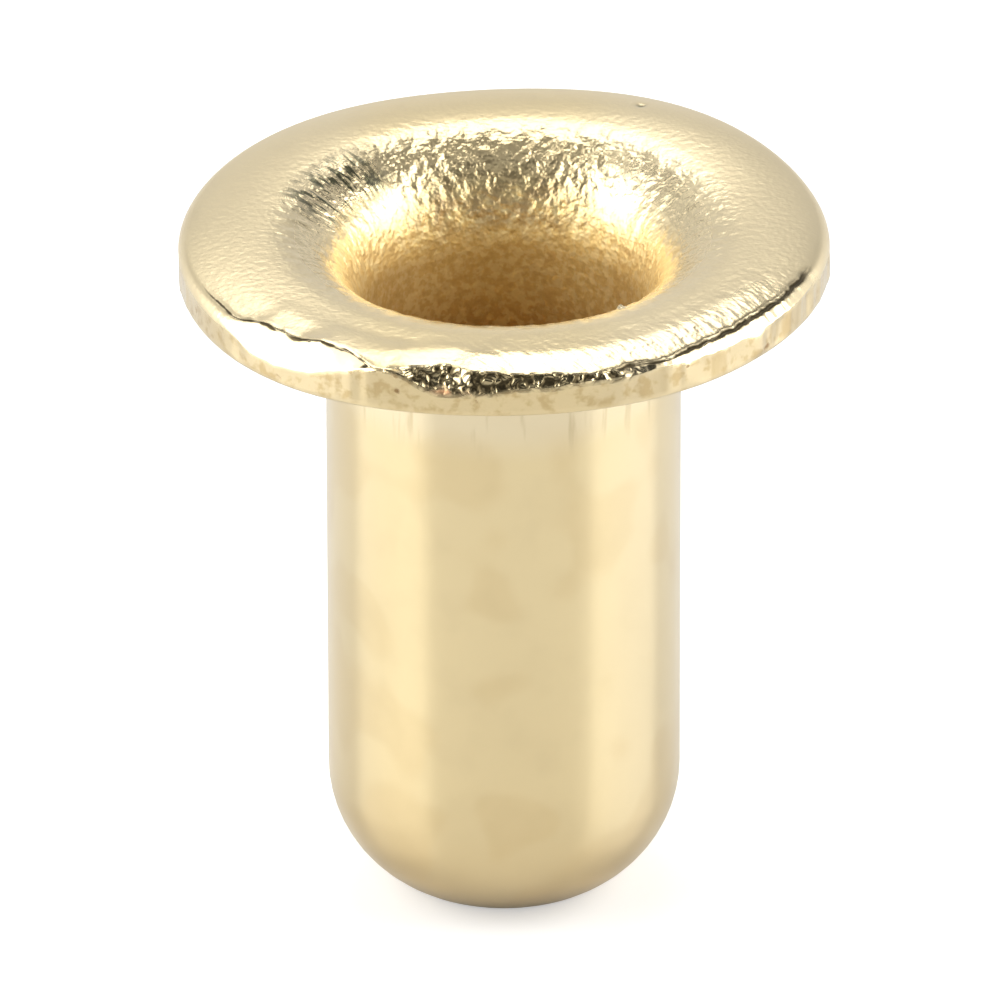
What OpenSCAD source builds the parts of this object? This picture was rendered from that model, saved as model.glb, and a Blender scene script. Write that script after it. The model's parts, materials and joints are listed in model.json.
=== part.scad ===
// Beehive frame eyelet: one piece of brass sheet, drawn, pierced, flared and trimmed.
// It stands on its pierced end with the flange up. The origin is the middle of that end.
// Sizes are in millimetres and +Z points out of the mouth.

/* [Barrel] */
// Outside diameter of the barrel, the fit in the end bar of the hive frame
barrel_d = 3; // [2.5:0.05:3.6]
// Overall height, from the pierced end to the crest of the flange
overall_h = 6.12; // [5:0.02:9]
// Wall of the drawn barrel
wall_t = 0.3; // [0.2:0.02:0.4]

/* [Nose] */
// Outside radius that turns the barrel in at its lower end
nose_r = 1.1; // [0.8:0.05:1.25]
// Diameter of the hole that is pierced through the end for the wire
end_hole_d = 1.6; // [1.3:0.02:1.96]
// Rolled inner edge of the pierced hole, on the side that the punch came from
pierce_roll_r = 0.08; // [0.02:0.01:0.12]

/* [Flange] */
// Outside diameter of the trimmed flange
flange_d = 5.5; // [4.5:0.1:7]
// Thickness of the flange, from its flat seat to its crest
flange_t = 0.42; // [0.34:0.02:0.56]
// Radius of the bell mouth between the crest and the bore
mouth_r = 0.85; // [0.6:0.05:1.05]
// Radius under the flange, between the barrel and the seat
seat_fillet_r = 0.3; // [0.1:0.05:0.4]
// Radius of the crown that falls from the crest to the rim
crown_r = 2.5; // [1.6:0.1:6]
// Rolled upper edge of the rim, where the trimming die drew the sheet down
rim_roll_r = 0.12; // [0.04:0.01:0.16]

/* [Smoothness] */
// Steps round a full circle
steps = 128; // [48:16:256]

/* [Hidden] */

barrel_r = barrel_d / 2;
bore_r = barrel_r - wall_t;
flange_r = flange_d / 2;
end_hole_r = end_hole_d / 2;
seat_z = overall_h - flange_t;

// The nose turns about a ring inside the barrel. The pierced edge is its lowest point,
// so the ring's height puts that edge at z = 0.
nose_ring_r = barrel_r - nose_r;
nose_ring_z = sqrt(pow(nose_r, 2) - pow(max(end_hole_r - nose_ring_r, 0), 2));
nose_foot_z = nose_ring_z - nose_r;
inner_nose_r = nose_r - wall_t;

// The crest is the ring where the bell mouth ends and the crown begins.
crest_r = bore_r + mouth_r;
crown_z = overall_h - crown_r;

// Each rolled edge is an arc that touches the straight wall on one side and the big
// arc on the other, so its centre lies one roll radius from both.
rim_roll_x = flange_r - rim_roll_r;
rim_roll_z = crown_z + sqrt(pow(crown_r - rim_roll_r, 2) - pow(rim_roll_x - crest_r, 2));
pierce_roll_x = end_hole_r + pierce_roll_r;
pierce_roll_z = nose_ring_z
    - sqrt(pow(inner_nose_r + pierce_roll_r, 2) - pow(pierce_roll_x - nose_ring_r, 2));

// How far an area runs on past the arc that shapes it, into metal or into air
past = 1;
in_flange = flange_t / 2;

function unit(v) = v / norm(v);

// What lies outside an arc, in the quadrant that side and up (each 1 or -1) point to
module beyond_arc(centre, r, side, up, reach = past) {
    translate(centre) scale([side, up]) difference() {
        square(r + reach);
        circle(r);
    }
}

// What lies outside a small arc, between two directions from its centre
module beyond_roll(centre, r, dir_a, dir_b) {
    translate(centre) difference() {
        polygon([[0, 0], 2 * r * dir_a, 2 * r * (dir_a + dir_b), 2 * r * dir_b]);
        circle(r);
    }
}

// A column about the axis, from its foot to its top
module column(r, foot_z, top_z) {
    translate([0, foot_z]) square([r, top_z - foot_z]);
}

// The outside of the barrel, with its turned-in nose
module barrel_section() {
    difference() {
        column(barrel_r, nose_foot_z, seat_z + in_flange);
        beyond_arc([nose_ring_r, nose_ring_z], nose_r, 1, -1);
    }
}

// The flange, flat below and crowned above, with the fillet that carries it
module flange_section() {
    difference() {
        column(flange_r, seat_z, overall_h);
        beyond_arc([crest_r, crown_z], crown_r, 1, 1);
        beyond_roll([rim_roll_x, rim_roll_z], rim_roll_r,
            unit([rim_roll_x - crest_r, rim_roll_z - crown_z]), [1, 0]);
    }
    beyond_arc([barrel_r + seat_fillet_r, seat_z - seat_fillet_r], seat_fillet_r, -1, 1, in_flange);
}

// The bore, which narrows inside the nose and opens upwards into the bell mouth
module bore_section() {
    difference() {
        column(bore_r, nose_foot_z + wall_t, overall_h + past);
        beyond_arc([nose_ring_r, nose_ring_z], inner_nose_r, 1, -1);
    }
    beyond_arc([crest_r, overall_h - mouth_r], mouth_r, -1, 1);
}

// The pierced hole, sharp outside and rolled on its inner edge
module end_hole_section() {
    column(end_hole_r, nose_foot_z - past, nose_ring_z);
    beyond_roll([pierce_roll_x, pierce_roll_z], pierce_roll_r,
        unit([nose_ring_r - pierce_roll_x, nose_ring_z - pierce_roll_z]), [-1, 0]);
}

module eyelet() {
    color([0.86, 0.75, 0.48])
        rotate_extrude($fn = steps)
            difference() {
                union() {
                    barrel_section($fn = steps);
                    flange_section($fn = steps);
                }
                bore_section($fn = steps);
                end_hole_section($fn = steps);
            }
}

eyelet();
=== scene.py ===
"""The looks of a drawn brass eyelet, and the small studio that it stands in.

The eyelet is one skin: its drawn section is carried once round the axis by a node tree, which
also gives the worked surfaces their relief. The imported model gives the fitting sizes. Sizes in
the dataclasses are millimetres, and everything that goes into the scene is in metres.
"""

import json
import logging
import math
from dataclasses import dataclass, field, replace
from enum import Enum

import bpy
from mathutils import Euler, Matrix, Vector


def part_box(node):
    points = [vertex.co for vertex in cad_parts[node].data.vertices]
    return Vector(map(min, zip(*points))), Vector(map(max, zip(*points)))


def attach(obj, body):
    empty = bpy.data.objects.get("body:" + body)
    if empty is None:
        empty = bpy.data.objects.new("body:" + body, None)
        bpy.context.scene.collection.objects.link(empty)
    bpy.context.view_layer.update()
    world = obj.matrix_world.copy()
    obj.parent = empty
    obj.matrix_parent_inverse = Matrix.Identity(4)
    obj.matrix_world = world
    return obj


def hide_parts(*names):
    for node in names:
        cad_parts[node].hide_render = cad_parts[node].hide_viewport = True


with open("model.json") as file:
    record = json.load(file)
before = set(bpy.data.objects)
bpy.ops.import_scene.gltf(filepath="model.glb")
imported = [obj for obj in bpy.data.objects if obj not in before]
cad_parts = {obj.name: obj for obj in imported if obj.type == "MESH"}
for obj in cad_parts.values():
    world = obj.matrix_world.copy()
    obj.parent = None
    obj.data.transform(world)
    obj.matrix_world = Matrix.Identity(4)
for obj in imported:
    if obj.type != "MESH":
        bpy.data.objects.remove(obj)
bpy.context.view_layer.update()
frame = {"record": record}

MM = 0.001
PIXELS = 1000
NODE = "eyelet"
BODY = "root"
SIDE_STRETCH = 6
EDGE_STRETCH = 7
CROWN_STRETCH = 8
WIPE_BEARING = 42
WIPE_SHARE = 0.33

log = logging.getLogger("eyelet")

Point = tuple[float, float]
Colour = tuple[float, float, float]


class Mask(Enum):
    """What the skin's points carry for the finish: shares from 0 to 1, and one distance in mm."""

    MOUTH = "mouth"
    CROWN = "crown"
    EDGE = "edge"
    SIDE = "side"
    THROAT = "throat"
    BORE = "bore"
    TEAR = "tear"
    OFF_TEAR = "off_tear"
    FLECK = "fleck"
    BLISTER = "blister"
    FROST = "frost"
    STROKE = "stroke"
    DENT = "dent"


class Signal:
    """A number or a vector carried by a node's output, so that relief is written as formulas."""

    def __init__(self, graph: "Graph", socket: bpy.types.NodeSocket) -> None:
        """Keeps the output and the graph that it belongs to.

        Args:
            graph: The graph that later nodes are added to.
            socket: The node's output.
        """
        self.graph = graph
        self.socket = socket

    def __add__(self, other: "Signal | float") -> "Signal":
        """Adds a number."""
        return self.graph.math("ADD", self, other)

    def __radd__(self, other: float) -> "Signal":
        """Adds a number that stands first."""
        return self.graph.math("ADD", other, self)

    def __sub__(self, other: "Signal | float") -> "Signal":
        """Takes a number away."""
        return self.graph.math("SUBTRACT", self, other)

    def __rsub__(self, other: float) -> "Signal":
        """Takes this from a number that stands first."""
        return self.graph.math("SUBTRACT", other, self)

    def __mul__(self, other: "Signal | float") -> "Signal":
        """Multiplies by a number."""
        return self.graph.math("MULTIPLY", self, other)

    def __rmul__(self, other: float) -> "Signal":
        """Multiplies a number that stands first."""
        return self.graph.math("MULTIPLY", other, self)

    def __truediv__(self, other: "Signal | float") -> "Signal":
        """Divides by a number."""
        return self.graph.math("DIVIDE", self, other)


class Graph:
    """A node tree, of geometry or of a material, that is built up by calls."""

    def __init__(self, tree: bpy.types.NodeTree) -> None:
        """Keeps the tree.

        Args:
            tree: The tree that nodes are added to.
        """
        self.tree = tree

    def node(self, kind: str, **settings: object) -> bpy.types.Node:
        """Adds a node.

        Args:
            kind: The node's type name.
            **settings: Properties of the node.

        Returns:
            The new node.
        """
        made = self.tree.nodes.new(kind)
        for name, value in settings.items():
            setattr(made, name, value)
        return made

    def feed(self, target: bpy.types.NodeSocket, value: object) -> None:
        """Links a signal to an input, or writes a constant there.

        Args:
            target: The input.
            value: A Signal, an output socket, a number or a vector.
        """
        if isinstance(value, Signal):
            self.tree.links.new(value.socket, target)
        elif isinstance(value, bpy.types.NodeSocket):
            self.tree.links.new(value, target)
        else:
            target.default_value = value

    def math(self, operation: str, *terms: object) -> Signal:
        """Adds a sum on numbers.

        Args:
            operation: The Math node's operation.
            *terms: Its one, two or three terms.

        Returns:
            The result.
        """
        made = self.node("ShaderNodeMath", operation=operation)
        for target, term in zip(made.inputs, terms):
            self.feed(target, term)
        return Signal(self, made.outputs[0])

    def vector(self, operation: str, *terms: object) -> Signal:
        """Adds a sum on vectors.

        Args:
            operation: The Vector Math node's operation.
            *terms: Its terms; for SCALE, the vector and then the factor.

        Returns:
            The result, a number for DOT_PRODUCT and LENGTH.
        """
        made = self.node("ShaderNodeVectorMath", operation=operation)
        if operation == "SCALE":
            self.feed(made.inputs[0], terms[0])
            self.feed(made.inputs["Scale"], terms[1])
        else:
            for target, term in zip(made.inputs, terms):
                self.feed(target, term)
        is_number = operation in ("DOT_PRODUCT", "LENGTH", "DISTANCE")
        return Signal(self, made.outputs["Value" if is_number else "Vector"])

    def combine(self, x: object, y: object, z: object) -> Signal:
        """Makes a vector of three numbers.

        Args:
            x: The first number.
            y: The second number.
            z: The third number.

        Returns:
            The vector.
        """
        made = self.node("ShaderNodeCombineXYZ")
        for target, term in zip(made.inputs, (x, y, z)):
            self.feed(target, term)
        return Signal(self, made.outputs[0])

    def separate(self, vector: Signal) -> tuple[Signal, Signal, Signal]:
        """Splits a vector.

        Args:
            vector: The vector.

        Returns:
            Its three numbers.
        """
        made = self.node("ShaderNodeSeparateXYZ")
        self.feed(made.inputs[0], vector)
        return tuple(Signal(self, made.outputs[i]) for i in range(3))

    def ramp(self, value: Signal, start: float, end: float, low: float = 0.0,
             high: float = 1.0) -> Signal:
        """Turns a number smoothly from one level to another.

        Args:
            value: The number.
            start: Where the turn starts; it may be more than end.
            end: Where the turn ends.
            low: The level before start.
            high: The level after end.

        Returns:
            The level.
        """
        made = self.node("ShaderNodeMapRange", interpolation_type="SMOOTHSTEP")
        if start > end:
            start, end, low, high = end, start, high, low
        terms = (value, start, end, low, high)
        for target, term in zip(made.inputs, terms):
            self.feed(target, term)
        return Signal(self, made.outputs[0])

    def span(self, value: Signal, start: float, end: float, soft: float) -> Signal:
        """Is 1 between two values and falls to 0 outside them.

        Args:
            value: The number.
            start: Where the span starts.
            end: Where the span ends.
            soft: How wide each of its borders is.

        Returns:
            The mask.
        """
        half = soft / 2
        rise = self.ramp(value, start - half, start + half)
        return rise * self.ramp(value, end + half, end - half)

    def noise(self, place: Signal, scale: float, detail: float = 2.0, roughness: float = 0.5,
              distortion: float = 0.0) -> Signal:
        """Adds a cloud noise.

        Args:
            place: Where it is read.
            scale: How many features go to one unit.
            detail: How many finer layers it has.
            roughness: How strong the finer layers are.
            distortion: How much it is stirred.

        Returns:
            A number between -1 and 1, about 0 on average.
        """
        made = self.node("ShaderNodeTexNoise", noise_dimensions="3D", normalize=True)
        self.feed(made.inputs["Vector"], place)
        made.inputs["Scale"].default_value = scale
        made.inputs["Detail"].default_value = detail
        made.inputs["Roughness"].default_value = roughness
        made.inputs["Distortion"].default_value = distortion
        return self.math("MULTIPLY_ADD", Signal(self, made.outputs[0]), 2.0, -1.0)

    def cells(self, place: Signal, scale: float, feature: str = "F1", output: str = "Distance",
              randomness: float = 1.0) -> Signal:
        """Adds a cell pattern.

        Args:
            place: Where it is read.
            scale: How many cells go to one unit.
            feature: The Voronoi node's feature.
            output: The Voronoi node's output.
            randomness: How far the cells stray from a grid.

        Returns:
            The chosen output.
        """
        made = self.node("ShaderNodeTexVoronoi", voronoi_dimensions="3D", feature=feature)
        self.feed(made.inputs["Vector"], place)
        made.inputs["Scale"].default_value = scale
        made.inputs["Randomness"].default_value = randomness
        return Signal(self, made.outputs[output])


def wiped_place(graph: Graph, place: Signal) -> Signal:
    """Draws a place out along the direction that the flange was wiped in.

    Args:
        graph: The graph.
        place: Where a point is, in millimetres.

    Returns:
        The place that streaks along that direction are read at.
    """
    turn = math.radians(WIPE_BEARING)
    along = Vector((math.sin(turn), -math.cos(turn), 0))
    across = Vector((math.cos(turn), math.sin(turn), 0))
    aside = graph.vector("DOT_PRODUCT", place, across)
    ahead = graph.vector("DOT_PRODUCT", place, along)
    return graph.combine(aside, ahead * WIPE_SHARE, 0.0)


def line(start: Point, end: Point, steps: int) -> list[Point]:
    """Divides a straight stretch of the section.

    Args:
        start: Its first point.
        end: Its last point.
        steps: How many steps it takes.

    Returns:
        Its points, without the last.
    """
    return [
        (start[0] + (end[0] - start[0]) * i / steps, start[1] + (end[1] - start[1]) * i / steps)
        for i in range(steps)
    ]


def arc(centre: Point, radius: float, start: float, end: float, steps: int) -> list[Point]:
    """Divides a round stretch of the section.

    Args:
        centre: The arc's centre.
        radius: Its radius.
        start: The angle of its first point, in radians from the outward direction.
        end: The angle of its last point.
        steps: How many steps it takes.

    Returns:
        Its points, without the last.
    """
    return [
        (centre[0] + radius * math.cos(turn), centre[1] + radius * math.sin(turn))
        for turn in (start + (end - start) * i / steps for i in range(steps))
    ]


def worn_edge(start: Point, end: Point, first: float, last: float, flatness: float,
              steps: int) -> list[Point]:
    """Divides an edge that is worn to a bevel, with rounded ends.

    Args:
        start: Its first point, on the side band.
        end: Its last point, on the crown.
        first: The angle that it faces at its start, in radians from the outward direction.
        last: The angle that it faces at its end.
        flatness: 1 for a round edge, more for a flatter bevel.
        steps: How many steps it takes.

    Returns:
        Its points, without the last.
    """
    points = [(0.0, 0.0)]
    for i in range(steps):
        share = 2 * (i + 0.5) / steps - 1
        eased = 0.5 + 0.5 * math.copysign(abs(share) ** flatness, share)
        facing = first + (last - first) * eased
        x, z = points[-1]
        points.append((x - math.sin(facing), z + math.cos(facing)))
    stretch_x = (end[0] - start[0]) / points[-1][0]
    stretch_z = (end[1] - start[1]) / points[-1][1]
    return [(start[0] + x * stretch_x, start[1] + z * stretch_z) for x, z in points[:-1]]


@dataclass
class Section:
    """The drawn section, from the pierced edge up the outside and down the inside."""

    barrel_r: float
    bore_r: float
    end_hole_r: float
    flange_r: float
    overall_h: float
    seat_z: float
    nose_r: float = 1.1
    pierce_roll_r: float = 0.08
    mouth_r: float = 0.85
    seat_fillet_r: float = 0.3
    crown_r: float = 2.5
    rim_roll_r: float = 0.12
    corner_r: float = 0.02
    bevel_in: float = 0.0
    bevel_down: float = 0.0
    seen_bore: float = 1.3

    @classmethod
    def from_frame(cls) -> "Section":
        """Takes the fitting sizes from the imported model.

        Returns:
            The section.
        """
        mounts = {mount["name"]: mount for mount in frame["record"]["mounts"]}
        _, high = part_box(NODE)
        return cls(
            barrel_r=mounts["barrel"]["dims"]["r_mm"],
            bore_r=mounts["wire_bore"]["dims"]["r_mm"],
            end_hole_r=mounts["end_hole"]["dims"]["r_mm"],
            flange_r=round(high.x / MM, 3),
            overall_h=round(high.z / MM, 3),
            seat_z=mounts["seat"]["pos_m"][2] / MM,
        )

    @property
    def crest_r(self) -> float:
        """Radius of the crest, where the bell mouth ends and the crown begins."""
        return self.bore_r + self.mouth_r

    @property
    def edge_angle(self) -> float:
        """Angle on the rim's roll at which it touches the crown."""
        centre = self.rim_roll_centre
        return math.atan2(centre[1] - self.crown_z, centre[0] - self.crest_r)

    @property
    def crown_z(self) -> float:
        """Height of the crown's centre."""
        return self.overall_h - self.crown_r

    @property
    def rim_roll_centre(self) -> Point:
        """Centre of the rolled upper rim."""
        x = self.flange_r - self.rim_roll_r
        reach = self.crown_r - self.rim_roll_r
        return x, self.crown_z + math.sqrt(reach**2 - (x - self.crest_r) ** 2)

    def stretches(self) -> list[list[Point]]:
        """Divides the whole section, as a ring of stretches.

        Returns:
            The points of each stretch, from the pierced edge round to it again.
        """
        ring_x = self.barrel_r - self.nose_r
        ring_z = math.sqrt(self.nose_r**2 - (self.end_hole_r - ring_x) ** 2)
        inner_r = self.nose_r - (self.barrel_r - self.bore_r)
        hole_turn = -math.acos((self.end_hole_r - ring_x) / self.nose_r)
        roll_x = self.end_hole_r + self.pierce_roll_r
        roll_reach = inner_r + self.pierce_roll_r
        roll_z = ring_z - math.sqrt(roll_reach**2 - (roll_x - ring_x) ** 2)
        roll_turn = math.atan2(ring_z - roll_z, ring_x - roll_x)
        fillet_x = self.barrel_r + self.seat_fillet_r
        fillet_z = self.seat_z - self.seat_fillet_r
        corner_x = self.flange_r - self.corner_r
        corner_z = self.seat_z + self.corner_r
        rim = self.rim_roll_centre
        edge = self.edge_angle
        roll = arc(rim, self.rim_roll_r, 0, edge, 19)
        side_top = rim[1]
        if self.bevel_in:
            edge = math.acos((self.flange_r - self.bevel_in - self.crest_r) / self.crown_r)
            brow = self.flange_r - self.bevel_in, self.crown_z + self.crown_r * math.sin(edge)
            side_top = self.overall_h - self.bevel_down
            roll = worn_edge((self.flange_r, side_top), brow, 0, edge, 8.0, 19)
        arch_z = self.overall_h - self.mouth_r
        seen_z = arch_z - self.seen_bore
        quarter = math.pi / 2
        return [
            arc((ring_x, ring_z), self.nose_r, hole_turn, 0, 12),
            line((self.barrel_r, ring_z), (self.barrel_r, fillet_z - 0.6), 4),
            line((self.barrel_r, fillet_z - 0.6), (self.barrel_r, fillet_z), 5),
            arc((fillet_x, fillet_z), self.seat_fillet_r, 2 * quarter, quarter, 4),
            line((fillet_x, self.seat_z), (corner_x, self.seat_z), 3),
            arc((corner_x, corner_z), self.corner_r, -quarter, 0, 2),
            line((self.flange_r, corner_z), (self.flange_r, side_top), 6),
            roll,
            arc((self.crest_r, self.crown_z), self.crown_r, edge, quarter, 28),
            arc((self.crest_r, arch_z), self.mouth_r, quarter, 2 * quarter, 56),
            line((self.bore_r, arch_z), (self.bore_r, seen_z), 6),
            line((self.bore_r, seen_z), (self.bore_r, ring_z), 3),
            arc((ring_x, ring_z), inner_r, 0, -(math.pi - roll_turn), 6),
            arc((roll_x, roll_z), self.pierce_roll_r, roll_turn, math.pi, 3),
            line((self.end_hole_r, roll_z), (self.end_hole_r, 0), 3),
        ]

    def stations(self) -> list[Point]:
        """All stations of the section, in order."""
        return [point for stretch in self.stretches() for point in stretch]

    def distances(self) -> list[float]:
        """Distance of each station from the crest along the section, less than 0 inside it."""
        points = self.stations()
        crest = sum(len(stretch) for stretch in self.stretches()[:CROWN_STRETCH + 1])
        along = [0.0] * len(points)
        for i in range(crest + 1, len(points)):
            along[i] = along[i - 1] - math.dist(points[i], points[i - 1])
        for i in range(crest - 1, -1, -1):
            along[i] = along[i + 1] + math.dist(points[i], points[i + 1])
        return along

    def distance_to(self, stretch: int) -> float:
        """Distance from the crest to the start of a stretch.

        Args:
            stretch: The stretch's number.

        Returns:
            The distance along the section.
        """
        return self.distances()[sum(len(part) for part in self.stretches()[:stretch])]


@dataclass(frozen=True)
class Wave:
    """A wave that runs round the flange a whole number of times, in millimetres and degrees."""

    count: int
    size: float
    bearing: float = 0.0


@dataclass(frozen=True)
class Nick:
    """A small spot that stands up from the skin or is struck into it, in millimetres."""

    bearing: float
    along: float
    width: float
    height: float


@dataclass
class EyeletSkin:
    """The eyelet's whole surface: the section carried round, out of true, with its relief."""

    section: Section
    bevel_in: float = 0.25
    bevel_down: float = 0.235
    waist_lift: float = 0.065
    turns: int = 620
    seed: int = 5
    rises: tuple[Wave, ...] = (
        Wave(0, 0.031), Wave(1, 0.027, 12), Wave(2, 0.007, -83), Wave(3, 0.012, 51),
        Wave(4, 0.006, -28), Wave(5, 0.012, -21),
    )
    swells: tuple[Wave, ...] = (
        Wave(0, -0.001), Wave(1, 0.005, 91), Wave(2, 0.014, 51), Wave(3, 0.003, -23),
        Wave(4, 0.006, -39), Wave(5, 0.006, -7),
    )
    nicks: tuple[Nick, ...] = (Nick(36.3, -0.415, 0.03, 0.045), Nick(151.7, 0.41, 0.03, -0.02))
    finish: "BrassFinish | None" = None

    def base_mesh(self) -> bpy.types.Object:
        """Makes the points of the section, with what the node tree reads from them.

        Returns:
            An object of one vertex for each station.
        """
        plain = self.section.stations()
        along = self.section.distances()
        wide = replace(self.section, bevel_in=self.bevel_in, bevel_down=self.bevel_down).stations()
        rolled = replace(self.section, bevel_in=0.0, bevel_down=0.0).stations()
        mesh = bpy.data.meshes.new("eyelet_section")
        mesh.from_pydata([(x, 0, z) for x, z in plain], [], [])
        mesh.attributes.new("along", "FLOAT", "POINT").data.foreach_set("value", along)
        for name, stations in (("wide", wide), ("rolled", rolled)):
            places = [number for x, z in stations for number in (x, 0.0, z)]
            mesh.attributes.new(name, "FLOAT_VECTOR", "POINT").data.foreach_set("vector", places)
        made = bpy.data.objects.new("eyelet_section", mesh)
        bpy.context.scene.collection.objects.link(made)
        return made

    def build(self) -> bpy.types.Object:
        """Carries the section round and turns the result into a plain mesh.

        Returns:
            The eyelet.
        """
        source = self.base_mesh()
        tree = SkinTree(self, len(source.data.vertices)).build()
        modifier = source.modifiers.new("carry_round", "NODES")
        modifier.node_group = tree
        values = {"Turns": self.turns, "Seed": self.seed, "Finish": self.finish.build()}
        for item in tree.interface.items_tree:
            if item.item_type == "SOCKET" and item.in_out == "INPUT" and item.name in values:
                modifier[item.identifier] = values[item.name]
        graph = bpy.context.evaluated_depsgraph_get()
        mesh = bpy.data.meshes.new_from_object(source.evaluated_get(graph))
        mesh.name = "brass_eyelet"
        bpy.data.objects.remove(source)
        made = bpy.data.objects.new("brass_eyelet", mesh)
        bpy.context.scene.collection.objects.link(made)
        return made


class SkinTree:
    """The node tree that carries the section round the axis and gives it its relief."""

    def __init__(self, skin: EyeletSkin, stations: int) -> None:
        """Starts an empty tree with its named inputs.

        Args:
            skin: The skin's sizes.
            stations: How many stations the section has.
        """
        self.skin = skin
        self.stations = stations
        self.tree = bpy.data.node_groups.new("carry_section_round", "GeometryNodeTree")
        sockets = self.tree.interface
        sockets.new_socket("Section", in_out="INPUT", socket_type="NodeSocketGeometry")
        sockets.new_socket("Turns", in_out="INPUT", socket_type="NodeSocketInt")
        sockets.new_socket("Seed", in_out="INPUT", socket_type="NodeSocketInt")
        sockets.new_socket("Finish", in_out="INPUT", socket_type="NodeSocketMaterial")
        sockets.new_socket("Skin", in_out="OUTPUT", socket_type="NodeSocketGeometry")
        self.graph = Graph(self.tree)
        self.inputs = self.graph.node("NodeGroupInput")
        self.masks: dict[Mask, Signal] = {}

    def sample(self, data_type: str, value: Signal, row: Signal) -> Signal:
        """Reads a value of the section at a row of the grid.

        Args:
            data_type: The value's data type.
            value: The value.
            row: The number of the station.

        Returns:
            The value at each grid point.
        """
        made = self.graph.node("GeometryNodeSampleIndex", data_type=data_type, domain="POINT")
        self.graph.feed(made.inputs["Geometry"], self.inputs.outputs["Section"])
        self.graph.feed(made.inputs["Value"], value)
        self.graph.feed(made.inputs["Index"], row)
        return Signal(self.graph, made.outputs["Value"])

    def named(self, name: str, data_type: str) -> Signal:
        """Reads an attribute.

        Args:
            name: The attribute's name.
            data_type: Its data type.

        Returns:
            The attribute.
        """
        made = self.graph.node("GeometryNodeInputNamedAttribute", data_type=data_type)
        made.inputs["Name"].default_value = name
        return Signal(self.graph, made.outputs["Attribute"])

    def store(self, geometry: object, name: str, data_type: str, value: Signal) -> Signal:
        """Writes an attribute on the points.

        Args:
            geometry: The geometry so far.
            name: The attribute's name.
            data_type: Its data type.
            value: What is written.

        Returns:
            The geometry with the attribute.
        """
        made = self.graph.node("GeometryNodeStoreNamedAttribute", data_type=data_type)
        made.domain = "POINT"
        self.graph.feed(made.inputs["Geometry"], geometry)
        made.inputs["Name"].default_value = name
        self.graph.feed(made.inputs["Value"], value)
        return Signal(self.graph, made.outputs["Geometry"])

    def place(self, geometry: object, position: Signal | None, offset: Signal | None) -> Signal:
        """Moves the points.

        Args:
            geometry: The geometry so far.
            position: Where the points go, or None to leave them.
            offset: How far they then move, or None for no move.

        Returns:
            The moved geometry.
        """
        made = self.graph.node("GeometryNodeSetPosition")
        self.graph.feed(made.inputs["Geometry"], geometry)
        if position is not None:
            self.graph.feed(made.inputs["Position"], position)
        if offset is not None:
            self.graph.feed(made.inputs["Offset"], offset)
        return Signal(self.graph, made.outputs["Geometry"])

    def carried(self) -> Signal:
        """Carries the section round, still in true, and welds its seams.

        Returns:
            The skin in millimetres, with "around" and "along" stored on it.
        """
        g = self.graph
        grid = g.node("GeometryNodeMeshGrid")
        columns = g.math("ADD", Signal(g, self.inputs.outputs["Turns"]), 1.0)
        g.feed(grid.inputs["Vertices X"], columns)
        grid.inputs["Vertices Y"].default_value = self.stations + 1
        index = Signal(g, g.node("GeometryNodeInputIndex").outputs[0])
        column = g.math("FLOOR", (index + 0.5) / float(self.stations + 1))
        row = index - column * float(self.stations + 1)
        row = g.math("FLOORED_MODULO", row, float(self.stations))
        turn = column * math.tau / Signal(g, self.inputs.outputs["Turns"])
        around = g.combine(g.math("COSINE", turn), g.math("SINE", turn), 0.0)
        position = Signal(g, g.node("GeometryNodeInputPosition").outputs[0])
        plain = self.sample("FLOAT_VECTOR", position, row)
        wide = self.sample("FLOAT_VECTOR", self.named("wide", "FLOAT_VECTOR"), row)
        rolled = self.sample("FLOAT_VECTOR", self.named("rolled", "FLOAT_VECTOR"), row)
        along = self.sample("FLOAT", self.named("along", "FLOAT"), row)
        worn = g.vector("SCALE", g.vector("SUBTRACT", plain, rolled), self.worn_share(around))
        inward, downward = self.wide_shares(around)
        drawn = g.combine(inward, 0.0, downward)
        drawn = g.vector("MULTIPLY", g.vector("SUBTRACT", wide, plain), drawn)
        section = g.vector("ADD", rolled, g.vector("ADD", worn, drawn))
        reach, _, height = g.separate(section)
        geometry = self.store(grid.outputs["Mesh"], "around", "FLOAT_VECTOR", around)
        geometry = self.store(geometry, "along", "FLOAT", along)
        spot = g.vector("ADD", g.vector("SCALE", around, reach), g.combine(0.0, 0.0, height))
        geometry = self.place(geometry, spot, None)
        weld = g.node("GeometryNodeMergeByDistance")
        g.feed(weld.inputs["Geometry"], geometry)
        weld.inputs["Distance"].default_value = 0.0005
        return Signal(g, weld.outputs["Geometry"])

    def towards(self, around: Signal, bearing: float, inner: float, outer: float) -> Signal:
        """Is 1 on one side of the axis, and falls to 0 away from it.

        Args:
            around: The direction from the axis.
            bearing: The middle of that side, in degrees to the right of the front.
            inner: Half the angle that is full, in degrees.
            outer: Half the angle outside which it is 0, in degrees.

        Returns:
            The mask.
        """
        turn = math.radians(bearing)
        there = Vector((math.sin(turn), -math.cos(turn), 0))
        closeness = self.graph.vector("DOT_PRODUCT", around, there)
        return self.graph.ramp(closeness, math.cos(math.radians(outer)),
                               math.cos(math.radians(inner)))

    def worn_share(self, around: Signal) -> Signal:
        """Says where the rolled rim is worn to a bevel."""
        return self.towards(around, 9, 58, 67)

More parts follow.
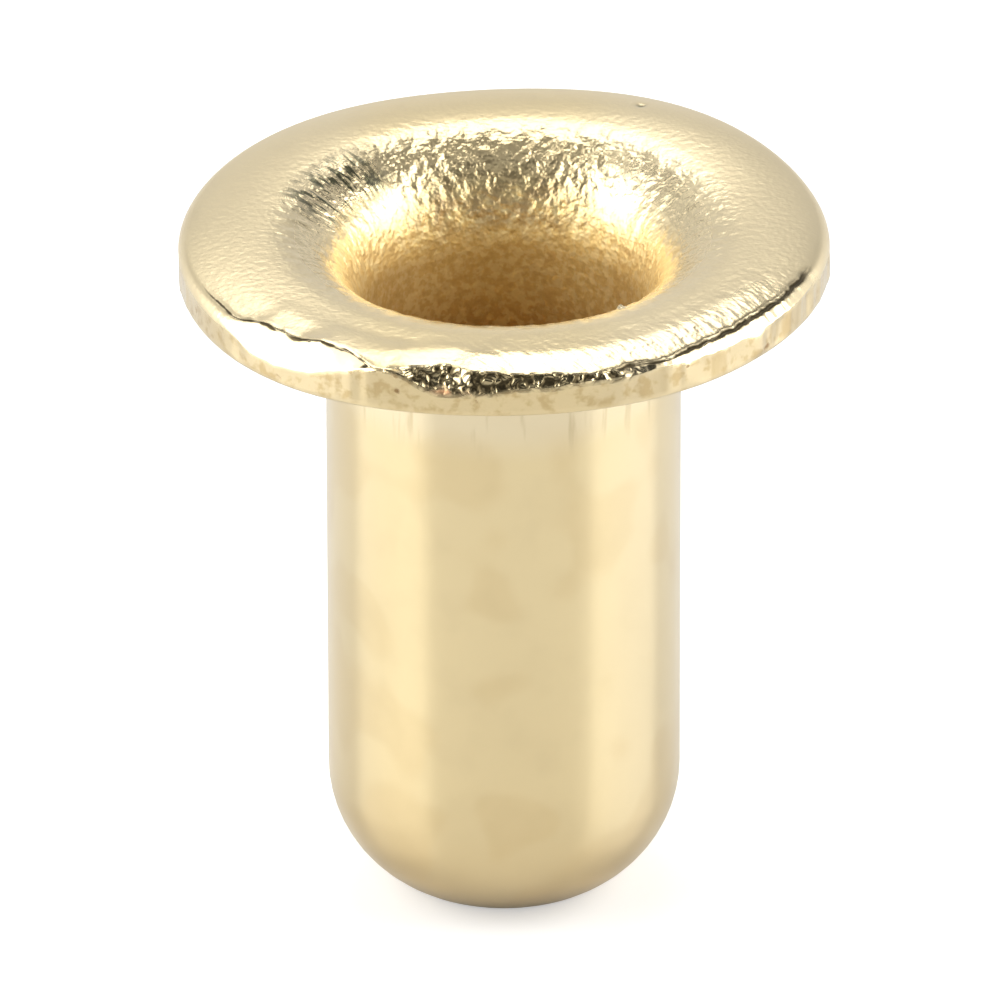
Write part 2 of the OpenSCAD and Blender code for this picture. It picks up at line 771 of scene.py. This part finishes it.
    def wide_shares(self, around: Signal) -> tuple[Signal, Signal]:
        """Says where the trimming die drew the rim down over a wide bevel, in two scallops.

        Args:
            around: The direction from the axis.

        Returns:
            How far the bevel reaches inwards and downwards, as shares of the wide one.
        """
        g = self.graph
        drawn_in = self.towards(around, -13.5, 2, 8) * 0.7
        drawn_down = self.towards(around, -9, 3, 11) * 0.85
        right = self.towards(around, 24, 9, 16) * 0.35
        rim = self.rim_place(around)
        teeth = (g.cells(rim, 3.3) - 0.4) * 0.45 + g.noise(rim, 9.0, 2.0) * 0.35
        torn = g.math("MAXIMUM", self.right_tear(around), self.left_tear(around) * 0.15)
        both = teeth * torn - right
        lobe = self.towards(around, -40, 8, 18)
        waist = self.towards(around, -24, 4, 13)
        inward = both + drawn_in + g.math("MINIMUM", lobe * 1.04 - waist * 0.5, 0.55)
        downward = both + drawn_down + g.math("MINIMUM", lobe * 1.43 - waist * 1.05, 1.3)
        worn = self.worn_share(around)
        inward = g.math("MAXIMUM", inward, -0.5) * worn
        return inward, g.math("MAXIMUM", downward, -1.2) * worn

    def right_tear(self, around: Signal) -> Signal:
        """Is 1 on the right of the front, where the flange's edge is torn."""
        return self.towards(around, 46, 22, 30)

    def left_tear(self, around: Signal) -> Signal:
        """Is 1 on the left of the front, where a thin tear runs along the wide bevel."""
        return self.towards(around, -44, 18, 27)

    def rim_place(self, around: Signal) -> Signal:
        """Gives where a direction meets the rim, as the place that noise along it is read at.

        Args:
            around: The direction from the axis.

        Returns:
            The place, which the seed shifts.
        """
        seed = Signal(self.graph, self.inputs.outputs["Seed"]) * 7.31
        rim = self.graph.vector("SCALE", around, self.skin.section.flange_r)
        return self.graph.vector("ADD", rim, self.graph.combine(seed, seed, 0.0))

    def nicks(self, around: Signal, along: Signal) -> tuple[Signal, Signal]:
        """Raises or strikes the skin's nicks.

        Args:
            around: The direction from the axis.
            along: The distance from the crest.

        Returns:
            The nicks' relief, and the mask of those that are struck in.
        """
        g = self.graph
        relief: Signal | float = 0.0
        dents: Signal | float = 0.0
        for nick in self.skin.nicks:
            turn = math.radians(nick.bearing)
            there = Vector((math.sin(turn), -math.cos(turn), 0))
            reach = self.skin.section.crest_r + nick.along
            aside = g.vector("LENGTH", g.vector("SUBTRACT", around, there)) * (reach / nick.width)
            off = (along - nick.along) / nick.width
            spot = g.math("EXPONENT", (aside * aside + off * off) * -1.0)
            relief = spot * nick.height + relief
            if nick.height < 0:
                dents = spot + dents
        return relief, dents

    def out_of_true(self, geometry: Signal) -> Signal:
        """Tilts and waves the flange as the trimmed piece is.

        Args:
            geometry: The skin in true.

        Returns:
            The skin out of true.
        """
        g = self.graph
        skin = self.skin
        position = Signal(g, g.node("GeometryNodeInputPosition").outputs[0])
        around = self.named("around", "FLOAT_VECTOR")
        x, y, z = g.separate(position)
        reach = g.vector("DOT_PRODUCT", position, around)
        share = g.ramp(reach, 1.45, 2.7) * g.ramp(z, 4.9, 5.5)
        turn = g.math("ARCTAN2", y, x)
        rise = self.waves(turn, skin.rises) * share
        lip = g.ramp(reach, 2.2, 2.65) * g.ramp(z, 5.75, 5.95)
        rise = rise + self.towards(around, -27, 4, 15) * lip * skin.waist_lift
        swell = self.waves(turn, skin.swells) * share
        offset = g.vector("ADD", g.vector("SCALE", around, swell), g.combine(0.0, 0.0, rise))
        return self.place(geometry, None, offset)

    def waves(self, turn: Signal, waves: tuple[Wave, ...]) -> Signal:
        """Adds waves up.

        Args:
            turn: The angle round the axis.
            waves: The waves.

        Returns:
            Their sum.
        """
        total: Signal | float = 0.0
        for wave in waves:
            angle = (turn - math.radians(wave.bearing)) * float(wave.count)
            total = self.graph.math("COSINE", angle) * wave.size + total
        return total

    def relief(self, geometry: Signal) -> Signal:
        """Presses the grain, the torn edge, the facets and the pits into the skin.

        Args:
            geometry: The skin out of true.

        Returns:
            The skin with its relief, and with its masks stored.
        """
        g = self.graph
        skin = self.skin
        around = self.named("around", "FLOAT_VECTOR")
        along = self.named("along", "FLOAT")
        rim = self.rim_place(around)
        strip = g.vector("ADD", rim, g.combine(0.0, 0.0, along))
        slope = g.vector("SCALE", rim, (skin.section.crest_r / skin.section.flange_r) * 0.78)
        drawn = 0.55 + self.towards(around, 180, 12, 40) * 0.35
        slope = g.vector("ADD", slope, g.combine(0.0, 0.0, along * drawn))
        position = Signal(g, g.node("GeometryNodeInputPosition").outputs[0])
        wiped = wiped_place(g, position)

        plain = skin.section
        brow = plain.distance_to(CROWN_STRETCH)
        side_top = plain.distance_to(EDGE_STRETCH)
        side_foot = plain.distance_to(SIDE_STRETCH)
        mouth_length = plain.mouth_r * math.pi / 2

        mouth = g.span(along, -mouth_length + 0.2, -0.16, 0.4)
        crown = g.span(along, -0.2, brow, 0.3)
        edge = g.span(along, brow, side_top, 0.03)
        side = g.span(along, side_top, side_foot, 0.03)
        worn = self.worn_share(around)
        crown = g.math("MAXIMUM", crown, edge * (1.0 - worn))
        edge = edge * worn
        throat = g.ramp(along, -mouth_length * 0.36, -mouth_length * 0.75)
        bore = g.ramp(along, -mouth_length * 0.42, -mouth_length * 0.9)

        right_tear = self.right_tear(around)
        left_tear = self.left_tear(around)
        right_front = self.towards(around, 28, 30, 46)
        front = self.towards(around, 2, 18, 24)
        broad_front = self.towards(around, 0, 35, 80)
        back = self.towards(around, 180, 15, 45)

        off_tear = along - brow
        groove = off_tear / 0.018
        groove = g.math("EXPONENT", groove * groove * -1.0)
        burr = (off_tear + 0.04) / 0.02
        burr = g.math("EXPONENT", burr * burr * -1.0)
        dashes = g.ramp(g.noise(rim, 6.0, 2.0, 0.6), -0.5, 0.1)
        tear = g.math("MAXIMUM", right_tear, left_tear * dashes)
        depth = g.math("MAXIMUM", right_tear, left_tear * 0.2)
        burr = burr * left_tear * g.ramp(g.noise(rim, 9.0), 0.0, 0.5)

        bright = self.towards(around, 118, 10, 30)
        sparkle = g.noise(slope, 9.5, 1.0, 0.4) * (0.014 + back * 0.0035 - bright * 0.004)
        wipe = g.noise(wiped, 9.0, 2.0, 0.55) * (0.0065 - right_tear * 0.0038)
        soft = g.noise(strip, 11.0, 2.0, 0.5) * 0.0006
        fullness = (along - 0.33 + g.noise(wiped, 4.0, 2.0, 0.6) * right_front * 0.12) / 0.13
        fullness = g.math("EXPONENT", fullness * fullness * -1.0) * broad_front * 0.009
        bubbles = g.noise(strip, 7.0, 1.0, 0.5) * 0.012
        facets = g.noise(rim, 3.2, 2.0, 0.6) * (0.02 + self.towards(around, 62, 18, 32) * 0.035)

        fleck = crown * right_front * g.ramp(along, 0.0, 0.5)
        blister = edge * front
        strokes = g.span(along, -0.65, -0.12, 0.25) * self.towards(around, -122, 10, 24)
        stroke = g.vector("ADD", rim, g.combine(0.0, 0.0, along * 0.45))
        stroke = g.noise(stroke, 12.0, 2.0, 0.6)
        nicks, dents = self.nicks(around, along)
        sparkle = sparkle * (1.0 - strokes * 0.6)
        height = fullness + mouth * sparkle + crown * soft + fleck * wipe
        height = height + strokes * stroke * 0.0095 + nicks
        height = height + blister * bubbles + side * facets
        height = height + burr * 0.01 - groove * depth * 0.02

        normal = Signal(g, g.node("GeometryNodeInputNormal").outputs[0])
        geometry = self.place(geometry, None, g.vector("SCALE", normal, height))
        frost = mouth * back * g.ramp(along, -0.2, -0.5)
        masks = {Mask.MOUTH: mouth, Mask.CROWN: crown, Mask.EDGE: edge, Mask.SIDE: side,
                 Mask.THROAT: throat, Mask.BORE: bore, Mask.FLECK: fleck,
                 Mask.BLISTER: blister, Mask.FROST: frost, Mask.TEAR: tear,
                 Mask.OFF_TEAR: off_tear, Mask.STROKE: strokes, Mask.DENT: dents}
        for mask, signal in masks.items():
            geometry = self.store(geometry, mask.value, "FLOAT", signal)
        return geometry

    def build(self) -> bpy.types.NodeTree:
        """Builds the whole tree.

        Returns:
            The tree, which ends in a realized mesh with its material.
        """
        g = self.graph
        geometry = self.relief(self.out_of_true(self.carried()))
        shrink = g.node("GeometryNodeTransform")
        g.feed(shrink.inputs["Geometry"], geometry)
        shrink.inputs["Scale"].default_value = (MM, MM, MM)
        smooth = g.node("GeometryNodeSetShadeSmooth")
        g.feed(smooth.inputs["Geometry"], shrink.outputs["Geometry"])
        realize = g.node("GeometryNodeRealizeInstances")
        g.feed(realize.inputs["Geometry"], smooth.outputs["Geometry"])
        paint = g.node("GeometryNodeSetMaterial")
        g.feed(paint.inputs["Geometry"], realize.outputs["Geometry"])
        g.feed(paint.inputs["Material"], self.inputs.outputs["Finish"])
        output = g.node("NodeGroupOutput")
        g.feed(output.inputs["Skin"], paint.outputs["Geometry"])
        return self.tree


@dataclass(frozen=True)
class BrassFinish:
    """Bright drawn brass, with a matte coined flange and a crystalline bell mouth."""

    name: str = "drawn_brass"
    metal: Colour = (0.93, 0.76, 0.435)
    warm: Colour = (0.90, 0.70, 0.315)
    # pale: painted sheen, for the lighter band under the flange, the paler left and right sides
    # and the mouth's paler flanks
    pale: Colour = (0.94, 0.80, 0.53)
    # oxide_and_shade: random clouds on the barrel, and painted shade deep in the bore and on the
    # throat's left and right walls
    oxide_and_shade: Colour = (0.66, 0.44, 0.165)
    # glint_colour: painted glints in the bore
    glint_colour: Colour = (1.0, 0.84, 0.46)
    shade: Colour = (0.72, 0.50, 0.20)
    copper: Colour = (0.68, 0.38, 0.20)
    # patina_and_shade: random mottle and drawn marks, and painted shade at the nose
    patina_and_shade: Colour = (0.66, 0.52, 0.29)
    stain: Colour = (0.62, 0.44, 0.19)
    tan: Colour = (0.50, 0.36, 0.18)
    # tan: brown patches on the back of the mouth, darkened as painted shade
    rust: Colour = (0.30, 0.17, 0.06)
    # dark_stroke_and_dent: painted dark reflection in the strokes, and the near-black fill of the
    # struck-in nick
    dark_stroke_and_dent: Colour = (0.12, 0.12, 0.06)
    # soil_and_shade: dirt and painted crease shade in the torn groove, and painted dark reflection
    # on the front bevel
    soil_and_shade: Colour = (0.05, 0.036, 0.016)
    barrel_roughness: float = 0.24
    crown_roughness: float = 0.33
    fleck_roughness: float = 0.24
    mouth_roughness: float = 0.27
    frost_roughness: float = 0.31
    edge_roughness: float = 0.13
    side_roughness: float = 0.2
    bore_roughness: float = 0.62
    dull_roughness: float = 0.6
    lacquer: float = 0.5
    lacquer_roughness: float = 0.25

    def build(self) -> bpy.types.Material:
        """Builds the material.

        Returns:
            The material.
        """
        material = bpy.data.materials.new(self.name)
        material.use_nodes = True
        tree = material.node_tree
        g = Graph(tree)
        shader = tree.nodes["Principled BSDF"]
        shader.inputs["Metallic"].default_value = 1.0
        shader.inputs["Coat Roughness"].default_value = self.lacquer_roughness
        coordinates = g.node("ShaderNodeTexCoord")
        place = g.vector("SCALE", Signal(g, coordinates.outputs["Object"]), 1 / MM)
        masks = {mask: self.mask(g, mask) for mask in Mask}
        roughness: Signal | float = self.barrel_roughness
        for mask, level in ((Mask.MOUTH, self.mouth_roughness), (Mask.CROWN, self.crown_roughness),
                            (Mask.FLECK, self.fleck_roughness), (Mask.FROST, self.frost_roughness),
                            (Mask.EDGE, self.edge_roughness), (Mask.SIDE, self.side_roughness),
                            (Mask.BORE, self.bore_roughness)):
            roughness = self.mix(g, masks[mask], roughness, level)
        x, y, z = g.separate(place)
        standing = g.combine(x, y, z * 0.12)
        mottle = g.noise(place, 2.6, 2.0, 0.6)
        patches = g.noise(place, 7.0, 3.0, 0.6)
        stirred = g.combine(x, y, z * 1.8)
        stirred = g.vector("ADD", stirred, g.vector("SCALE", self.cloud(g, place, 9.0), 0.18))
        pits = g.ramp(g.cells(stirred, 3.0), 0.2, 0.08) * masks[Mask.SIDE]
        facets = g.ramp(g.noise(standing, 4.0, 2.0, 0.6), 0.0, 0.3) * g.ramp(x, 1.0, 1.7)
        stained = g.ramp(patches, -0.05, 0.3)
        stained = g.math("MAXIMUM", stained, facets) * masks[Mask.SIDE]
        # The torn groove's dark line: partly dirt, partly painted crease shade.
        dark_line_width = g.ramp(patches, -0.3, 0.3, 0.012, 0.034)
        dark_line_width = dark_line_width * g.ramp(x, -0.5, 1.0, 0.33, 1.0)
        off_tear = masks[Mask.OFF_TEAR] - 0.01 + mottle * 0.02
        off_tear = off_tear / dark_line_width
        grime_and_painted_shade = g.math("EXPONENT", off_tear * off_tear * -1.0) * masks[Mask.TEAR] * 1.5
        # Painted dark reflection: the front bevel's dark band between the bubbles.
        dome = g.vector("SCALE", self.cloud(g, place, 12.0), 0.09)
        dome = g.cells(g.vector("ADD", place, dome), 14.0)
        painted_dark_band = g.math("MAXIMUM", g.ramp(dome, 0.38, 0.58), g.ramp(patches, 0.0, 0.3))
        grime_and_painted_shade = g.math("MAXIMUM", grime_and_painted_shade, painted_dark_band * masks[Mask.BLISTER])
        grime_and_painted_shade = g.math("MINIMUM", grime_and_painted_shade, 1.0)
        g.feed(shader.inputs["Coat Weight"], (1.0 - grime_and_painted_shade) * self.lacquer)
        below = g.ramp(z, 4.6, 5.0) * (1.0 - g.ramp(z, 5.3, 5.6)) * (1.0 - masks[Mask.BORE])
        direction = g.vector("NORMALIZE", g.combine(x, y, 0.0))
        reach = g.vector("LENGTH", g.combine(x, y, 0.0))
        strokes = g.vector("SCALE", direction, 1.9)
        strokes = g.vector("ADD", strokes, g.combine(0.0, 0.0, reach * 0.35))
        # Painted shade: the bore darkens towards its bottom.
        painted_bore_shade = masks[Mask.BORE] * g.ramp(z, 5.0, 4.4)
        # Brown patches on the back of the mouth, stronger lower down: partly a real brown stain,
        # partly painted shade that darkens the mouth's back.
        tan_patches_and_shade = g.ramp(patches, -0.35, 0.25) * masks[Mask.FROST] * g.ramp(z, 5.95, 5.75, 0.2, 0.9)
        # Painted dark reflection: dark strokes on the left-back of the mouth.
        stroke = g.ramp(g.noise(strokes, 19.0, 1.0), -0.02, 0.2) * masks[Mask.STROKE] * 0.95
        clouded = g.noise(place, 12.0, 2.0, 0.6)
        # Painted glints: bright specks in the bore, denser towards its top, which paints light
        # there.
        painted_glints = g.ramp(clouded, -0.1, 0.2) * masks[Mask.BORE] * g.ramp(z, 4.6, 5.1, 0.5, 1.0)
        shaded = g.ramp(clouded, -0.08, -0.35) * masks[Mask.BORE] * 0.3
        colour = self.blend(g, masks[Mask.THROAT], self.metal, self.warm)
        colour = self.blend(g, painted_bore_shade, colour, self.oxide_and_shade)
        colour = self.blend(g, painted_glints, colour, self.glint_colour)
        colour = self.blend(g, shaded, colour, self.shade)
        # Painted shade: the nose darkens towards the floor that it stands on.
        colour = self.blend(g, g.ramp(z, 1.6, 0.1) * 0.8, colour, self.patina_and_shade)
        colour = self.blend(g, g.ramp(mottle, -0.2, 0.6) * 0.16, colour, self.patina_and_shade)
        drawn = g.ramp(g.noise(standing, 10.0, 2.0, 0.6), 0.1, 0.4) * below
        clouds_and_flank_shade = g.ramp(g.noise(place, 1.3, 1.0), 0.0, 0.2) * g.ramp(z, 5.2, 4.6)
        outside = 1.0 - masks[Mask.THROAT]
        # Painted sheen: a lighter band on the barrel under the flange, paler left and right sides,
        # and paler flanks of the mouth.
        painted_sheen = g.math("MAXIMUM", below * 0.95, g.ramp(x, 0.5, 1.2) * 0.55)
        painted_sheen = g.math("MAXIMUM", painted_sheen, g.ramp(x, -0.9, -1.5) * 0.5) * outside
        flank = g.ramp(g.math("ABSOLUTE", x), 0.6, 1.1)
        painted_sheen = g.math("MAXIMUM", painted_sheen, masks[Mask.MOUTH] * flank * 0.3)
        colour = self.blend(g, painted_sheen, colour, self.pale)
        # Random clouds on the barrel, and painted shade on the throat's left and right walls.
        clouds_and_flank_shade = g.math("MAXIMUM", clouds_and_flank_shade * 0.14, masks[Mask.THROAT] * flank * 0.25)
        colour = self.blend(g, clouds_and_flank_shade, colour, self.oxide_and_shade)
        colour = self.blend(g, drawn * 0.6, colour, self.patina_and_shade)
        colour = self.blend(g, stained * 0.55 + masks[Mask.SIDE] * 0.22, colour, self.stain)
        colour = self.blend(g, tan_patches_and_shade, colour, self.tan)
        flushed = g.ramp(patches, 0.2, -0.25) * masks[Mask.BLISTER]
        flushed = flushed * g.ramp(z, 6.01, 5.95) * g.span(x, -0.62, -0.2, 0.25)
        grime_and_painted_shade = grime_and_painted_shade * (1.0 - flushed)
        colour = self.blend(g, flushed, colour, self.copper)
        colour = self.blend(g, pits * 0.8, colour, self.rust)
        colour = self.blend(g, g.math("MAXIMUM", masks[Mask.DENT], stroke), colour, self.dark_stroke_and_dent)
        colour = self.blend(g, grime_and_painted_shade * 0.95, colour, self.soil_and_shade)
        g.feed(shader.inputs["Base Color"], colour)
        dull = g.math("MAXIMUM", g.math("MAXIMUM", flushed, pits), grime_and_painted_shade * 0.5)
        g.feed(shader.inputs["Roughness"], self.mix(g, dull, roughness, self.dull_roughness))

        frost = masks[Mask.MOUTH] * 0.0055 + masks[Mask.FROST] * 0.004 + masks[Mask.BORE] * 0.003
        grain = g.noise(place, 17.0, 1.0, 0.5) * (frost + masks[Mask.CROWN] * 0.002)
        streaks = g.vector("SCALE", wiped_place(g, place), 1.0 - masks[Mask.STROKE])
        streaks = g.vector("ADD", streaks, g.vector("SCALE", strokes, masks[Mask.STROKE]))
        streaks = g.noise(streaks, 17.0, 1.0)
        grain = grain + streaks * (masks[Mask.FLECK] * 0.004 + masks[Mask.STROKE] * 0.006)
        grain = grain - dome * dome * masks[Mask.BLISTER] * 0.023
        bump = g.node("ShaderNodeBump")
        bump.inputs["Distance"].default_value = MM
        g.feed(bump.inputs["Height"], grain)
        g.feed(shader.inputs["Normal"], bump.outputs["Normal"])
        return material

    @staticmethod
    def mask(g: Graph, mask: Mask) -> Signal:
        """Reads one of the skin's masks.

        Args:
            g: The material's graph.
            mask: Which mask.

        Returns:
            The mask.
        """
        made = g.node("ShaderNodeAttribute", attribute_name=mask.value)
        return Signal(g, made.outputs["Fac"])

    @staticmethod
    def mix(g: Graph, share: Signal, before: object, after: object) -> Signal:
        """Goes from one number to another.

        Args:
            g: The graph.
            share: 0 for the first number, 1 for the second.
            before: The first number.
            after: The second number.

        Returns:
            The number between them.
        """
        made = g.node("ShaderNodeMix", data_type="FLOAT")
        g.feed(made.inputs[0], share)
        g.feed(made.inputs[2], before)
        g.feed(made.inputs[3], after)
        return Signal(g, made.outputs[0])

    @staticmethod
    def cloud(g: Graph, place: Signal, scale: float) -> Signal:
        """Adds a noise of vectors, to stir a place with.

        Args:
            g: The graph.
            place: Where it is read.
            scale: How many features go to one unit.

        Returns:
            A vector whose numbers lie between -0.5 and 0.5.
        """
        made = g.node("ShaderNodeTexNoise", noise_dimensions="3D", normalize=True)
        g.feed(made.inputs["Vector"], place)
        made.inputs["Scale"].default_value = scale
        made.inputs["Detail"].default_value = 0.0
        return g.vector("SUBTRACT", Signal(g, made.outputs["Color"]), Vector((0.5, 0.5, 0.5)))

    @staticmethod
    def blend(g: Graph, share: Signal, before: object, after: object) -> Signal:
        """Goes from one colour to another.

        Args:
            g: The graph.
            share: 0 for the first colour, 1 for the second.
            before: The first colour.
            after: The second colour.

        Returns:
            The colour between them.
        """
        made = g.node("ShaderNodeMix", data_type="RGBA")
        g.feed(made.inputs[0], share)
        for target, value in ((made.inputs[6], before), (made.inputs[7], after)):
            g.feed(target, value if isinstance(value, Signal) else (*value, 1.0))
        return Signal(g, made.outputs[2])


@dataclass
class Camera:
    """The camera at the photograph's angle, fitted to its outline."""

    elevation: float = 28.0
    distance: float = 150.0
    roll: float = -0.12
    pixels_per_mm: float = 118.0
    target_below_crest: float = 2.5
    target_pixel: Point = (503.7, 488.4)

    def build(self, section: Section) -> bpy.types.Object:
        """Puts the camera in the scene.

        Args:
            section: The eyelet's section, whose crest the target hangs from.

        Returns:
            The camera.
        """
        data = bpy.data.cameras.new("camera")
        data.sensor_width = 36.0
        field = PIXELS / self.pixels_per_mm
        data.lens = data.sensor_width * self.distance / field
        data.clip_start = 0.01
        data.clip_end = 10.0
        made = bpy.data.objects.new("camera", data)
        bpy.context.scene.collection.objects.link(made)
        turn = Euler((math.radians(90 - self.elevation), 0, 0)).to_matrix()
        turn = turn @ Matrix.Rotation(math.radians(self.roll), 3, "Z")
        right, up, back = turn.col
        target = Vector((0, 0, section.overall_h - self.target_below_crest))
        across = (PIXELS / 2 - self.target_pixel[0]) / self.pixels_per_mm
        down = (PIXELS / 2 - self.target_pixel[1]) / self.pixels_per_mm
        aim = target + right * across - up * down
        made.matrix_world = Matrix.Translation((aim + back * self.distance) * MM) @ turn.to_4x4()
        bpy.context.scene.camera = made
        return made


@dataclass
class Softbox:
    """A rectangular lamp that faces the eyelet."""

    name: str
    bearing: float
    elevation: float
    distance: float
    width: float
    height: float
    radiance: float
    colour: Colour = (1.0, 1.0, 1.0)
    aim_height: float = 4.0

    def build(self) -> bpy.types.Object:
        """Puts the lamp in the scene.

        Returns:
            The lamp.
        """
        data = bpy.data.lights.new(self.name, "AREA")
        data.shape = "RECTANGLE"
        data.size = self.width * MM
        data.size_y = self.height * MM
        data.color = self.colour
        data.energy = self.radiance * math.pi * self.width * self.height * MM**2
        made = bpy.data.objects.new(self.name, data)
        bpy.context.scene.collection.objects.link(made)
        turn = math.radians(self.bearing)
        lift = math.radians(self.elevation)
        there = Vector((math.sin(turn) * math.cos(lift), math.cos(turn) * math.cos(lift),
                        math.sin(lift)))
        place = there * self.distance + Vector((0, 0, self.aim_height))
        rotation = there.to_track_quat("Z", "Y").to_matrix().to_4x4()
        made.matrix_world = Matrix.Translation(place * MM) @ rotation
        made.visible_camera = False
        return made


@dataclass
class Card:
    """A flat board that shapes what the metal mirrors."""

    name: str
    centre: tuple[float, float, float]
    width: float
    depth: float
    colour: Colour
    tip: float = 0.0
    turn: float = 0.0
    glow: float = 0.0

    def build(self) -> bpy.types.Object:
        """Puts the board in the scene, unseen by the camera.

        Returns:
            The board.
        """
        mesh = bpy.data.meshes.new(self.name)
        half_x = self.width / 2 * MM
        half_y = self.depth / 2 * MM
        corners = [(-half_x, -half_y, 0), (half_x, -half_y, 0), (half_x, half_y, 0),
                   (-half_x, half_y, 0)]
        mesh.from_pydata(corners, [], [(0, 1, 2, 3)])
        tip = Matrix.Rotation(math.radians(self.tip), 4, "X")
        turn = Matrix.Rotation(math.radians(self.turn), 4, "Z")
        mesh.transform(Matrix.Translation(Vector(self.centre) * MM) @ turn @ tip)
        material = bpy.data.materials.new(self.name)
        material.use_nodes = True
        shader = material.node_tree.nodes["Principled BSDF"]
        shader.inputs["Base Color"].default_value = (*self.colour, 1.0)
        shader.inputs["Roughness"].default_value = 0.9
        shader.inputs["Emission Color"].default_value = (1.0, 1.0, 1.0, 1.0)
        shader.inputs["Emission Strength"].default_value = self.glow
        mesh.materials.append(material)
        made = bpy.data.objects.new(self.name, mesh)
        bpy.context.scene.collection.objects.link(made)
        made.visible_camera = False
        return made


@dataclass
class Studio:
    """Floor, backdrop light, lamps and boards."""

    floor_half: float = 600.0
    floor_colour: float = 0.77
    floor_glow: float = 0.45
    floor_roughness: float = 0.12
    room_level: float = 0.35
    bounces: int = 6
    lamps: list[Softbox] = field(default_factory=lambda: [
        Softbox("left_softbox", -100, 24, 130, 128, 130, 2.9),
        Softbox("right_softbox", 93, 22, 130, 125, 120, 2.9),
        Softbox("upper_left_softbox", -87, 54, 128, 114, 55, 1.74),
        Softbox("upper_right_softbox", 95, 52, 128, 93, 55, 1.8),
        Softbox("back_softbox", -3, 55, 130, 62, 70, 2.6),
    ])
    cards: list[Card] = field(default_factory=lambda: [
        Card("ceiling_card", (0, -40, 170), 500, 420, (0.05, 0.05, 0.045)),
        Card("front_card", (0, -260, 75), 600, 210, (0.12, 0.11, 0.09), tip=90, glow=0.4),
        Card("back_card", (-25, 300, 120), 590, 300, (0.0, 0.0, 0.0), tip=90, glow=0.465),
        Card("low_card", (-25, 290, 20), 590, 150, (0.0, 0.0, 0.0), tip=90, glow=0.75),
        Card("sky_card", (0, -22, 150), 70, 56, (0.05, 0.05, 0.045), glow=0.32),
        Card("left_flag", (-46, 91, 68), 40, 26, (0.2, 0.2, 0.17), tip=122, turn=27, glow=0.7),
    ])

    def build_floor(self) -> bpy.types.Object:
        """Lays the pale floor, which keeps the eyelet's shadow and is clear from below.

        Returns:
            The floor.
        """
        mesh = bpy.data.meshes.new("floor")
        half = self.floor_half * MM
        mesh.from_pydata([(-half, -half, 0), (half, -half, 0), (half, half, 0), (-half, half, 0)],
                         [], [(0, 1, 2, 3)])
        material = bpy.data.materials.new("pale_floor")
        material.use_nodes = True
        tree = material.node_tree
        g = Graph(tree)
        gloss = tree.nodes["Principled BSDF"]
        gloss.inputs["Base Color"].default_value = (self.floor_colour,) * 3 + (1.0,)
        gloss.inputs["Roughness"].default_value = self.floor_roughness
        matte = g.node("ShaderNodeBsdfDiffuse")
        matte.inputs["Color"].default_value = (self.floor_colour,) * 3 + (1.0,)
        glow = g.node("ShaderNodeEmission")
        glow.inputs["Strength"].default_value = self.floor_glow
        lifted = g.node("ShaderNodeAddShader")
        g.feed(lifted.inputs[0], matte.outputs[0])
        g.feed(lifted.inputs[1], glow.outputs[0])
        light_path = g.node("ShaderNodeLightPath")
        choice = g.node("ShaderNodeMixShader")
        g.feed(choice.inputs[0], light_path.outputs["Is Camera Ray"])
        g.feed(choice.inputs[1], gloss.outputs[0])
        g.feed(choice.inputs[2], lifted.outputs[0])
        side = g.node("ShaderNodeNewGeometry")
        clear = g.node("ShaderNodeBsdfTransparent")
        upper_side = g.node("ShaderNodeMixShader")
        g.feed(upper_side.inputs[0], side.outputs["Backfacing"])
        g.feed(upper_side.inputs[1], choice.outputs[0])
        g.feed(upper_side.inputs[2], clear.outputs[0])
        g.feed(tree.nodes["Material Output"].inputs["Surface"], upper_side.outputs[0])
        mesh.materials.append(material)
        made = bpy.data.objects.new("floor", mesh)
        bpy.context.scene.collection.objects.link(made)
        return made

    def build_world(self) -> bpy.types.World:
        """Makes the white background, at a plain level for what it lights.

        Returns:
            The world.
        """
        world = bpy.data.worlds.new("studio")
        world.use_nodes = True
        g = Graph(world.node_tree)
        path = g.node("ShaderNodeLightPath")
        seen = g.math("MAXIMUM", path.outputs["Is Camera Ray"], path.outputs["Is Glossy Ray"])
        seen = g.math("MAXIMUM", seen, path.outputs["Is Transmission Ray"])
        background = world.node_tree.nodes["Background"]
        background.inputs["Color"].default_value = (1.0, 1.0, 1.0, 1.0)
        g.feed(background.inputs["Strength"], g.ramp(seen, 0.0, 1.0, self.room_level, 1.0))
        bpy.context.scene.world = world
        return world

    def build(self) -> None:
        """Sets up the whole studio."""
        self.build_world()
        self.build_floor()
        for lamp in self.lamps:
            lamp.build()
        for card in self.cards:
            card.build()
        scene = bpy.context.scene
        scene.view_settings.view_transform = "Standard"
        scene.cycles.max_bounces = self.bounces
        scene.cycles.glossy_bounces = self.bounces


def main() -> None:
    """Builds the eyelet and its studio."""
    logging.basicConfig(level=logging.INFO, format="%(name)s: %(message)s")
    section = replace(Section.from_frame(), bevel_in=0.09, bevel_down=0.166)
    Camera().build(section)
    Studio().build()
    eyelet = EyeletSkin(section, finish=BrassFinish()).build()
    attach(eyelet, BODY)
    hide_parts(NODE)
    eyelet.data.calc_loop_triangles()
    log.info("%s: %d triangles", eyelet.name, len(eyelet.data.loop_triangles))


if __name__ == "__main__":
    main()
